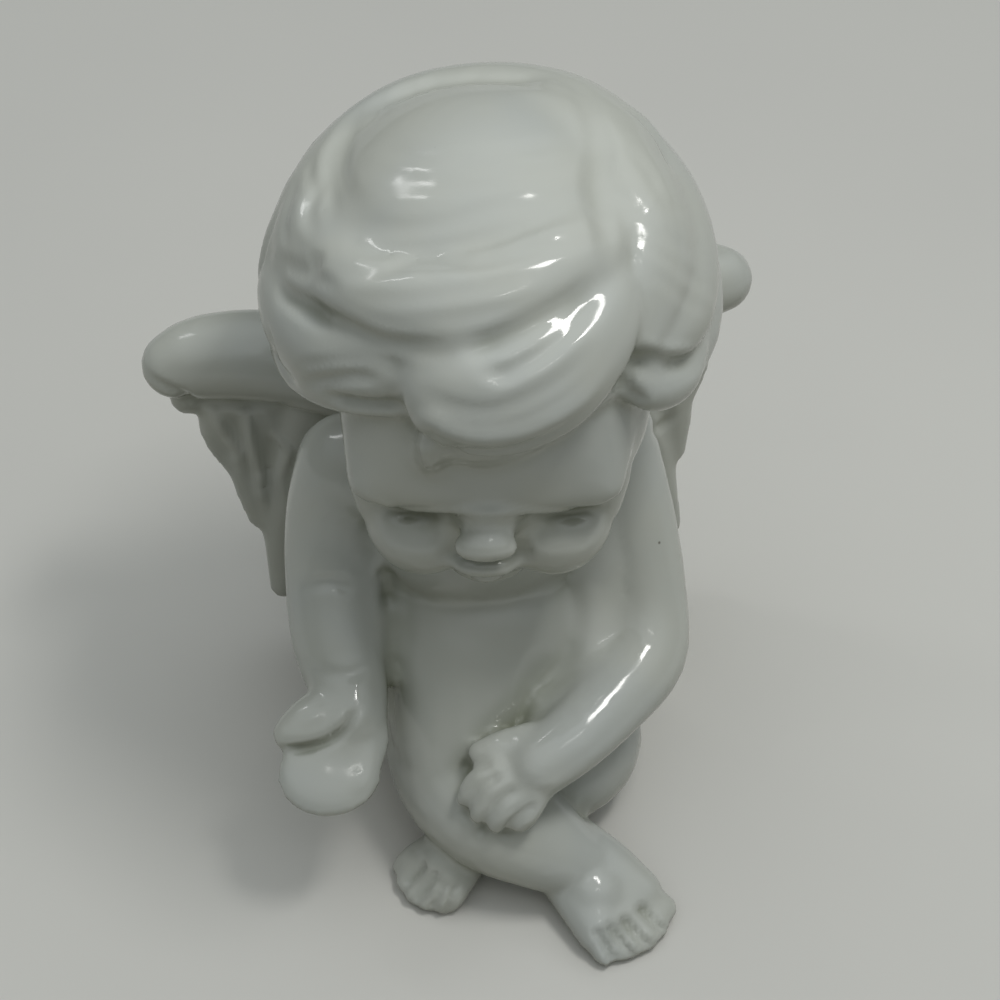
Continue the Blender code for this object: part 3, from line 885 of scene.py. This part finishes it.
    left_fingers: Strokes = (
        Stroke(((463, 816), (470, 800), (482, 786), (498, 776)), 1.15, -0.6, 0.15),
        Stroke(((480, 834), (486, 818), (499, 802), (514, 790)), 1.15, -0.7, 0.15),
        Stroke(((503, 836), (514, 822), (534, 806)), 1.15, -0.6, 0.15),
        Stroke(((462, 765), (474, 765), (490, 764)), 1.4, -0.5),
    )
    right_toes: Strokes = alike(
        (
            ((597, 933), (607, 948), (618, 968)),
            ((610, 927), (623, 944), (637, 964)),
            ((624, 920), (638, 935), (655, 953)),
            ((641, 908), (655, 921), (672, 937)),
        ),
        width=1.1, depth=-1.0, ease=0.12,
    )
    left_toes: Strokes = alike(
        (
            ((404, 886), (414, 876), (424, 865)),
            ((414, 902), (426, 888), (436, 874)),
            ((430, 914), (437, 898), (444, 884)),
            ((448, 914), (452, 899), (456, 886)),
        ),
        width=1.0, depth=-0.7, ease=0.12,
    )
    right_wing: Strokes = (
        Stroke((
            (141, 366), (152, 379), (165, 388), (181, 394), (196, 402), (221, 404), (267, 404),
            (307, 405),
        ), 1.5, -0.6),
        Stroke(((201, 412), (210, 430), (222, 450), (232, 470)), 2.0, -0.2),
        Stroke(((226, 412), (240, 436), (248, 466), (252, 504)), 2.0, -0.2),
        Stroke(((256, 414), (268, 444), (272, 480), (274, 524)), 2.0, -0.2),
        Stroke(((212, 410), (219, 425), (229, 438), (240, 454), (241, 480)), 1.1, 0.45),
        Stroke(((234, 409), (246, 417), (250, 438), (257, 464), (263, 482), (264, 526)), 1.1, 0.45),
        Stroke(((267, 415), (274, 432), (283, 443), (288, 452), (280, 478), (284, 498)), 1.1, 0.4),
        Stroke(((262, 470), (258, 486), (262, 500)), 1.0, 0.3),
        Stroke(((226, 440), (236, 452), (234, 466)), 1.0, 0.25),
    )

    def parts(self) -> dict[str, Strokes]:
        """The strokes of each carved part, by the name of its field."""
        return dict(vars(self))


@dataclass
class FeatherCarving:
    """Lines down the feathers on the plain sides of the wings, in units."""

    reach: float = 6.0
    steps: int = 5
    gap_width: float = 1.5
    gap_depth: float = -0.35
    line_width: float = 1.2
    line_depth: float = 0.175
    ridge_share: float = 1.05
    ridge_width: float = 1.6
    ridge_depth: float = -0.4

    def carve(self, sculptor: Sculptor, wing: Wing, back: bool) -> None:
        """Carves a plain side of a wing: gaps between feathers, a line down each, a groove by the ridge.

        Args:
            sculptor: The sculptor at work.
            wing: The wing to carve.
            back: Whether to carve its back, or else its front.
        """
        off = wing.facing * (-self.reach if back else self.reach)
        place = wing.place()
        for first, second in zip(wing.feathers, wing.feathers[1:]):
            rows = zip(smooth_between(first, self.steps), smooth_between(second, self.steps))
            path = [place @ ((Vector(a[:3]) + Vector(b[:3])) / 2 + off) for a, b in rows]
            sculptor.near(path, self.gap_width, self.gap_depth)
        for feather in wing.feathers:
            path = [place @ (Vector(row[:3]) + off) for row in smooth_between(feather, self.steps)]
            sculptor.near(path, self.line_width, self.line_depth)
        path = []
        for x, y, z, radius in wing.ridge[1:]:
            path.append(place @ (Vector((x, y, z)) + off - Vector((0, 0, radius * self.ridge_share))))
        sculptor.near(path, self.ridge_width, self.ridge_depth)


@dataclass(frozen=True)
class Softening:
    """A ball of space where the skin is smoothed further, in units."""

    centre: Row
    radius: float
    rounds: int


def fill_pockets(skin: bmesh.types.BMesh) -> None:
    """Fills the pockets of air shut in between forms, by removing their own small skins.

    Args:
        skin: The skin, changed by this.
    """
    found = []
    for start in skin.verts:
        if start.tag:
            continue
        start.tag = True
        piece = [start]
        for vertex in piece:
            for edge in vertex.link_edges:
                other = edge.other_vert(vertex)
                if not other.tag:
                    other.tag = True
                    piece.append(other)
        found.append(piece)
    outer = max(found, key=len)
    inner = [vertex for piece in found if piece is not outer for vertex in piece]
    bmesh.ops.delete(skin, geom=inner, context="VERTS")


@dataclass
class Press:
    """How the clay becomes one skin, in units."""

    grain: float = 0.628
    softening: int = 4
    give: float = 0.5
    cut_tolerance: float = 0.00001
    soft_spots: tuple[Softening, ...] = (
        Softening((0, 0, 100), 21, 18),
        Softening((-8, -16, 90), 20, 8),
        Softening((-3, -22, 70), 15, 6),
        Softening((0, -8, 38), 17, 11),
        Softening((18, -4, 86), 14, 9),
        Softening((9, -17, 31), 9, 10),
        Softening((-14.5, -8, 36), 7, 7),
        Softening((3.4, -28.8, 26.5), 5.5, 7),
        Softening((0, -12.5, 49), 9, 10),
        Softening((-13.4, -10, 33), 5.5, 10),
        Softening((-12, -11, 46), 5, 7),
        Softening((-20.5, -17, 30), 5, 7),
        Softening((-24, -25.6, 25.4), 5.5, 4),
    )

    def skin(self, clay: Clay) -> bmesh.types.BMesh:
        """Presses the clay into one closed skin and cuts it flat on the standing plane.

        Args:
            clay: The clay, used up by this.

        Returns:
            The skin, in units.
        """
        bmesh.ops.recalc_face_normals(clay.form, faces=clay.form.faces)
        mesh = bpy.data.meshes.new("clay")
        clay.form.to_mesh(mesh)
        clay.form.free()
        lump = put("clay", mesh)
        press = lump.modifiers.new("press", "REMESH")
        press.mode = "VOXEL"
        press.voxel_size = self.grain
        soften = lump.modifiers.new("soften", "SMOOTH")
        soften.factor = self.give
        soften.iterations = self.softening
        graph = bpy.context.evaluated_depsgraph_get()
        pressed = bpy.data.meshes.new_from_object(lump.evaluated_get(graph))
        bpy.data.objects.remove(lump)
        bpy.data.meshes.remove(mesh)
        skin = bmesh.new()
        skin.from_mesh(pressed)
        bpy.data.meshes.remove(pressed)
        fill_pockets(skin)
        whole = [*skin.verts, *skin.edges, *skin.faces]
        plane = {"plane_co": (0, 0, 0), "plane_no": (0, 0, 1)}
        cut = bmesh.ops.bisect_plane(skin, geom=whole, dist=self.cut_tolerance, clear_inner=True, **plane)
        rims = [e for e in cut["geom_cut"] if isinstance(e, bmesh.types.BMEdge)]
        bmesh.ops.holes_fill(skin, edges=rims)
        bmesh.ops.recalc_face_normals(skin, faces=skin.faces)
        every_axis = {"use_axis_x": True, "use_axis_y": True, "use_axis_z": True}
        for spot in self.soft_spots:
            centre = Vector(spot.centre)
            near = [v for v in skin.verts if (v.co - centre).length < spot.radius]
            for _ in range(spot.rounds):
                bmesh.ops.smooth_vert(skin, verts=near, factor=self.give, **every_axis)
        return skin


@dataclass
class ShadeMasks:
    """Masks of the skin's shape for the glaze's painted shade, kept as attributes of the mesh."""

    reach: float = 7.0
    rays: int = 16
    spread: float = 0.92
    start: float = 0.05
    blur_rounds: int = 5
    hollow_rounds: int = 7
    hollow_blur_rounds: int = 2

    def directions(self) -> list[Vector]:
        """Spreads directions evenly over a hemisphere round +Z.

        Returns:
            The directions.
        """
        golden = math.pi * (3 - math.sqrt(5))
        found = []
        for index in range(self.rays):
            height = 1 - (index + 0.5) / self.rays * self.spread
            flat = math.sqrt(1 - height * height)
            found.append(Vector((flat * math.cos(golden * index), flat * math.sin(golden * index), height)))
        return found

    def rings(self, skin: bmesh.types.BMesh) -> list[list[int]]:
        """The numbers of the vertices next to each vertex."""
        return [[edge.other_vert(vertex).index for edge in vertex.link_edges] for vertex in skin.verts]

    def blurred(self, values: list[float], rings: list[list[int]], rounds: int) -> list[float]:
        """Blurs a value over the skin.

        Args:
            values: The value at each vertex.
            rings: The vertices next to each vertex.
            rounds: How many times each value is averaged with those next to it.

        Returns:
            The blurred values.
        """
        for _ in range(rounds):
            values = [
                (values[index] + sum(values[other] for other in ring)) / (1 + len(ring))
                for index, ring in enumerate(rings)
            ]
        return values

    def crevices(self, skin: bmesh.types.BMesh) -> list[float]:
        """Finds how shut in each vertex is.

        Args:
            skin: The carved skin.

        Returns:
            A value for each vertex, from 0 in the open to 1 deep in a crevice.
        """
        tree = BVHTree.FromBMesh(skin)
        rays = self.directions()
        found = []
        for vertex in skin.verts:
            lean = vertex.normal.to_track_quat("Z", "Y")
            start = vertex.co + vertex.normal * self.start
            hits = sum(tree.ray_cast(start, lean @ ray, self.reach)[0] is not None for ray in rays)
            found.append(hits / self.rays)
        return self.blurred(found, self.rings(skin), self.blur_rounds)

    def hollows(self, skin: bmesh.types.BMesh) -> list[float]:
        """Finds how hollow the skin is at each vertex.

        Args:
            skin: The carved skin.

        Returns:
            A value for each vertex, positive in grooves and negative on ridges.
        """
        places = [v.co.copy() for v in skin.verts]
        rings = self.rings(skin)
        for _ in range(self.hollow_rounds):
            places = [sum((places[i] for i in ring), Vector()) / len(ring) for ring in rings]
        found = [(place - v.co).dot(v.normal) for place, v in zip(places, skin.verts)]
        return self.blurred(found, rings, self.hollow_blur_rounds)

    def unders(self, skin: bmesh.types.BMesh) -> list[float]:
        """How far the skin faces down at each vertex, from 0 facing up to 1 facing down."""
        return [0.5 - 0.5 * v.normal.z for v in skin.verts]


@dataclass
class Figurine:
    """The whole figurine: its forms, its carving, and the glaze's attributes."""

    name: str = "cherub"
    torso: Torso = field(default_factory=Torso)
    arms: Arms = field(default_factory=Arms)
    legs: Legs = field(default_factory=Legs)
    head: Head = field(default_factory=Head)
    wings: tuple[Wing, ...] = field(default_factory=lambda: tuple(Wing(side) for side in Side))
    press: Press = field(default_factory=Press)
    shade_masks: ShadeMasks = field(default_factory=ShadeMasks)
    sight: Sight = field(default_factory=Sight)
    front: FrontCarving = field(default_factory=FrontCarving)
    feathers: FeatherCarving = field(default_factory=FeatherCarving)
    strand_depth: float = -0.4

    def carve(self, skin: bmesh.types.BMesh, hair: Hair) -> None:
        """Carves the front's strokes, the strands of the locks and the plain sides of the wings.

        Args:
            skin: The pressed skin, in units.
            hair: The head of hair.
        """
        sculptor = Sculptor(skin)
        for part, strokes in self.front.parts().items():
            for stroke in strokes:
                sculptor.seen(stroke, self.sight)
            LOG.info("carved %s: %d strokes", part, len(strokes))
        for lock in hair.locks():
            sculptor.strands(hair, lock, self.strand_depth)
        right, left = self.wings
        self.feathers.carve(sculptor, right, back=True)
        self.feathers.carve(sculptor, left, back=True)
        self.feathers.carve(sculptor, left, back=False)
        moves = sculptor.finish()
        LOG.info("carved %d vertices", sum(abs(move) > 0 for move in moves))

    def build(self, finish: bpy.types.Material) -> bpy.types.Object:
        """Builds the figurine.

        Args:
            finish: The glaze.

        Returns:
            The finished object, in metres.
        """
        clay = Clay()
        hair = Hair(self.head)
        for part in (self.torso, self.arms, self.legs, self.head, hair, *self.wings):
            part.lay(clay)
        skin = self.press.skin(clay)
        self.carve(skin, hair)
        skin.normal_update()
        # Masks for the glaze's painted shade: how shut in, how hollow and how downward-facing the skin is
        crevices = self.shade_masks.crevices(skin)
        hollows = self.shade_masks.hollows(skin)
        unders = self.shade_masks.unders(skin)
        bmesh.ops.scale(skin, vec=(UNIT, UNIT, UNIT), verts=skin.verts)
        mesh = bpy.data.meshes.new(self.name)
        skin.to_mesh(mesh)
        skin.free()
        for attribute, values in (("crevice", crevices), ("pool", hollows), ("under", unders)):
            mesh.attributes.new(attribute, "FLOAT", "POINT").data.foreach_set("value", values)
        mesh.shade_smooth()
        mesh.materials.append(finish)
        figure = put(self.name, mesh)
        LOG.info("%s: %d vertices, %d faces", self.name, len(mesh.vertices), len(mesh.polygons))
        return figure


@dataclass(frozen=True)
class Ramp:
    """A smooth ramp: the range of a value that is read, and the range it is mapped onto."""

    low: float
    high: float
    start: float = 0.0
    end: float = 1.0


class Nodes:
    """A short way to build a shader tree."""

    def __init__(self, tree: bpy.types.NodeTree) -> None:
        """Starts on a tree.

        Args:
            tree: The tree the nodes go in.
        """
        self.tree = tree

    def add(self, kind: str, inputs: dict | None = None, **settings: object) -> bpy.types.Node:
        """Adds a node.

        Args:
            kind: The node's type.
            inputs: Sockets by name or number, each with a value or with a socket to link from.
            **settings: Properties of the node.

        Returns:
            The node.
        """
        node = self.tree.nodes.new(kind)
        for key, value in settings.items():
            setattr(node, key, value)
        for key, value in (inputs or {}).items():
            if isinstance(value, Socket):
                self.tree.links.new(value, node.inputs[key])
            else:
                node.inputs[key].default_value = value
        return node

    def spread(self, value: Socket, ramp: Ramp) -> Socket:
        """Maps a value by a smooth ramp.

        Args:
            value: The value.
            ramp: The ramp.

        Returns:
            The mapped value.
        """
        ends = {"From Min": ramp.low, "From Max": ramp.high, "To Min": ramp.start, "To Max": ramp.end}
        node = self.add("ShaderNodeMapRange", {"Value": value, **ends}, interpolation_type="SMOOTHSTEP")
        return node.outputs["Result"]

    def mix(self, share: Socket, first: object, second: object) -> Socket:
        """Mixes two colours by a share."""
        node = self.add("ShaderNodeMix", {0: share, 6: first, 7: second}, data_type="RGBA")
        return node.outputs[2]

    def noise(self, place: Socket, scale: float, detail: float) -> Socket:
        """Adds noise over a place."""
        inputs = {"Vector": place, "Scale": scale, "Detail": detail}
        return self.add("ShaderNodeTexNoise", inputs).outputs["Fac"]

    def math(self, operation: str, *values: object) -> Socket:
        """Works a sum on one or two values."""
        return self.add("ShaderNodeMath", dict(enumerate(values)), operation=operation).outputs[0]

    def read(self, attribute: str) -> Socket:
        """Reads an attribute of the mesh."""
        return self.add("ShaderNodeAttribute", attribute_name=attribute).outputs["Fac"]

    def place(self) -> Socket:
        """The place on the object, in its own metres."""
        return self.add("ShaderNodeTexCoord").outputs["Object"]


def new_material(name: str) -> tuple[bpy.types.Material, Nodes, bpy.types.Node]:
    """Makes a material.

    Args:
        name: Its name.

    Returns:
        The material, its node tree and its shader.
    """
    material = bpy.data.materials.new(name)
    material.use_nodes = True
    tree = material.node_tree
    return material, Nodes(tree), tree.nodes["Principled BSDF"]


@dataclass(frozen=True)
class Glaze:
    """Clear glaze over grey-white porcelain, darker and warmer where thick glaze gathers and in painted
    shade.
    """

    name: str = "glazed_porcelain"
    body: Row = (0.49, 0.505, 0.465, 1.0)
    cool: Row = (0.46, 0.482, 0.462, 1.0)
    # Darker in grooves where the glaze gathers thick, and painted shade in grooves and shut-in crevices
    thick_glaze_and_shade: Row = (0.20, 0.212, 0.15, 1.0)
    # Painted shade deep in crevices
    crevice: Row = (0.07, 0.078, 0.042, 1.0)
    # Painted shade on surfaces that face down
    painted_underside_shade: Row = (0.235, 0.238, 0.18, 1.0)
    bare: Row = (0.56, 0.53, 0.46, 1.0)
    pinhole: Row = (0.12, 0.11, 0.085, 1.0)
    bare_roughness: float = 0.65
    cloud_noise: Row = (42.0, 3.0)
    ripple_noise: Row = (310.0, 2.0)
    pit_scale: float = 190.0
    clouds: Ramp = Ramp(0.36, 0.66)
    facing_down: Ramp = Ramp(0.28, 0.7, 0.0, 0.62)
    cloud_middle: float = 0.5
    cloud_in_crevice: float = 0.08
    shut_in: Ramp = Ramp(0.12, 0.72, 0.0, 0.85)
    grooves: Ramp = Ramp(0.03, 0.4, 0.0, 0.4)
    deep_grooves: Ramp = Ramp(0.05, 0.4, 0.0, 0.7)
    deep_crevices: Ramp = Ramp(0.55, 1.0)
    pits_chosen: Ramp = Ramp(0.965, 0.975)
    pit_edge: Ramp = Ramp(0.065, 0.025)
    foot_edge: Ramp = Ramp(0.0009, 0.0003)
    foot_ragged: float = 0.0006
    gloss_ripple: Ramp = Ramp(0.3, 0.75, 0.077, 0.187)
    crevice_dulling: Ramp = Ramp(0.35, 0.9, 0.0, 0.12)
    ripple_relief: float = 0.5
    pit_relief: float = -1.0
    bump_strength: float = 0.08
    bump_distance: float = 0.0004

    def make(self) -> bpy.types.Material:
        """Builds the material.

        Returns:
            The glaze.
        """
        material, nodes, shader = new_material(self.name)
        place = nodes.place()
        crevice, pool, under = nodes.read("crevice"), nodes.read("pool"), nodes.read("under")
        cloud = nodes.noise(place, *self.cloud_noise)
        ripple = nodes.noise(place, *self.ripple_noise)
        pits = nodes.add("ShaderNodeTexVoronoi", {"Vector": place, "Scale": self.pit_scale}).outputs
        height = nodes.add("ShaderNodeSeparateXYZ", {"Vector": place}).outputs["Z"]

        colour = nodes.mix(nodes.spread(cloud, self.clouds), self.body, self.cool)
        # Painted shade: darker and warmer on surfaces that face down
        colour = nodes.mix(nodes.spread(under, self.facing_down), colour, self.painted_underside_shade)
        # Painted occlusion shade: darker where the skin is shut in, mottled by the cloud noise
        uneven = nodes.math("SUBTRACT", cloud, self.cloud_middle)
        shut = nodes.math("ADD", crevice, nodes.math("MULTIPLY", uneven, self.cloud_in_crevice))
        colour = nodes.mix(nodes.spread(shut, self.shut_in), colour, self.thick_glaze_and_shade)
        # Darker in grooves, partly where the glaze gathers thick and partly painted shade
        colour = nodes.mix(nodes.spread(pool, self.grooves), colour, self.thick_glaze_and_shade)
        # Painted shade, near black, deep in crevices that are also hollow
        hollow = nodes.spread(pool, self.deep_grooves)
        deep = nodes.math("MULTIPLY", nodes.spread(shut, self.deep_crevices), hollow)
        colour = nodes.mix(deep, colour, self.crevice)
        lot = nodes.add("ShaderNodeSeparateColor", {"Color": pits["Color"]}).outputs["Red"]
        chosen = nodes.spread(lot, self.pits_chosen)
        spot = nodes.math("MULTIPLY", nodes.spread(pits["Distance"], self.pit_edge), chosen)
        colour = nodes.mix(spot, colour, self.pinhole)
        ragged = nodes.math("ADD", height, nodes.math("MULTIPLY", cloud, self.foot_ragged))
        foot = nodes.spread(ragged, self.foot_edge)
        colour = nodes.mix(foot, colour, self.bare)
        nodes.tree.links.new(colour, shader.inputs["Base Color"])

        thin = nodes.spread(ripple, self.gloss_ripple)
        dull = nodes.math("ADD", thin, nodes.spread(shut, self.crevice_dulling))
        rough = nodes.add("ShaderNodeMix", {0: foot, 2: dull, 3: self.bare_roughness}).outputs[0]
        nodes.tree.links.new(rough, shader.inputs["Roughness"])
        ripples = nodes.math("MULTIPLY", ripple, self.ripple_relief)
        relief = nodes.math("ADD", ripples, nodes.math("MULTIPLY", spot, self.pit_relief))
        inputs = {"Height": relief, "Strength": self.bump_strength, "Distance": self.bump_distance}
        bump = nodes.add("ShaderNodeBump", inputs)
        nodes.tree.links.new(bump.outputs["Normal"], shader.inputs["Normal"])
        return material


@dataclass(frozen=True)
class Backdrop:
    """Plain pale paper under the figurine."""

    name: str = "pale_paper"
    colour: Row = (0.64, 0.633, 0.60, 1.0)
    shade: Row = (0.62, 0.613, 0.583, 1.0)
    roughness: float = 0.7
    grain_noise: Row = (9.0, 4.0)
    grain: Ramp = Ramp(0.3, 0.7)
    half_size: float = 4.0

    def make(self) -> bpy.types.Object:
        """Builds the floor and its material.

        Returns:
            The floor.
        """
        material, nodes, shader = new_material(self.name)
        grain = nodes.noise(nodes.place(), *self.grain_noise)
        colour = nodes.mix(nodes.spread(grain, self.grain), self.colour, self.shade)
        nodes.tree.links.new(colour, shader.inputs["Base Color"])
        shader.inputs["Roughness"].default_value = self.roughness
        form = bmesh.new()
        bmesh.ops.create_grid(form, x_segments=1, y_segments=1, size=self.half_size)
        mesh = bpy.data.meshes.new("floor")
        form.to_mesh(mesh)
        form.free()
        mesh.materials.append(material)
        floor = put("floor", mesh)
        return floor


@dataclass(frozen=True)
class Lamp:
    """A soft rectangular lamp that looks at the figurine."""

    name: str
    place: Row
    size: Row
    power: float
    colour: Row = (1.0, 1.0, 1.0)

    def light(self, target: Vector) -> None:
        """Hangs the lamp.

        Args:
            target: The place it is aimed at.
        """
        data = bpy.data.lights.new(self.name, "AREA")
        data.shape = "RECTANGLE"
        data.size, data.size_y = self.size
        data.energy = self.power
        data.color = self.colour
        lamp = put(self.name, data)
        lamp.location = self.place
        lamp.rotation_euler = (target - lamp.location).to_track_quat("-Z", "Y").to_euler()


@dataclass(frozen=True)
class Studio:
    """Soft light from overhead, and the camera at the photograph's point of view."""

    sight: Sight = Sight()
    sensor: float = 36.0
    lamps: tuple[Lamp, ...] = (
        Lamp("overhead", (0.11, -0.06, 0.39), (0.1, 0.062), 0.42, (1.0, 0.99, 0.96)),
        Lamp("front_panel", (0.06, -0.42, 0.8), (0.22, 0.03), 0.13, (1.0, 0.99, 0.96)),
        Lamp("window", (-0.28, 0.3, 0.55), (0.05, 0.16), 0.15),
    )
    zenith: Row = (0.93, 0.98, 1.0, 1.0)
    horizon: Row = (0.075, 0.074, 0.056, 1.0)
    sky_strength: float = 0.95
    brightest: Row = (0.04, -0.06, 0.997)
    rise: Ramp = Ramp(0.38, 1.0)
    nearest: float = 0.01

    def light(self) -> None:
        """Sets the sky and hangs the lamps."""
        world = bpy.data.worlds.new("studio")
        bpy.context.scene.world = world
        world.use_nodes = True
        nodes = Nodes(world.node_tree)
        direction = nodes.add("ShaderNodeTexCoord").outputs["Generated"]
        both = {0: direction, 1: self.brightest}
        height = nodes.add("ShaderNodeVectorMath", both, operation="DOT_PRODUCT").outputs["Value"]
        colour = nodes.mix(nodes.spread(height, self.rise), self.horizon, self.zenith)
        background = world.node_tree.nodes["Background"]
        world.node_tree.links.new(colour, background.inputs["Color"])
        background.inputs["Strength"].default_value = self.sky_strength
        for lamp in self.lamps:
            lamp.light(Vector(self.sight.target) * UNIT)
        bpy.context.scene.view_settings.view_transform = "Standard"

    def camera(self) -> None:
        """Sets the camera up where the photograph was taken from."""
        data = bpy.data.cameras.new("camera")
        data.sensor_width = self.sensor
        data.lens = self.sight.focal / (2 * self.sight.middle) * self.sensor
        data.clip_start = self.nearest
        right, up, back = self.sight.axes()
        turn = Matrix((right, up, back)).transposed().to_4x4()
        camera = put("camera", data)
        camera.matrix_world = Matrix.Translation(self.sight.eye() * UNIT) @ turn
        bpy.context.scene.camera = camera


def main() -> None:
    """Builds the figurine, its finish and the studio."""
    logging.basicConfig(level=logging.INFO, format="%(name)s: %(message)s")
    figure = Figurine().build(Glaze().make())
    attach(figure, "root")
    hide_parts("cherub_figurine")
    Backdrop().make()
    studio = Studio()
    studio.light()
    studio.camera()
    LOG.info("built %s on the packed frame", figure.name)


if __name__ == "__main__":
    main()
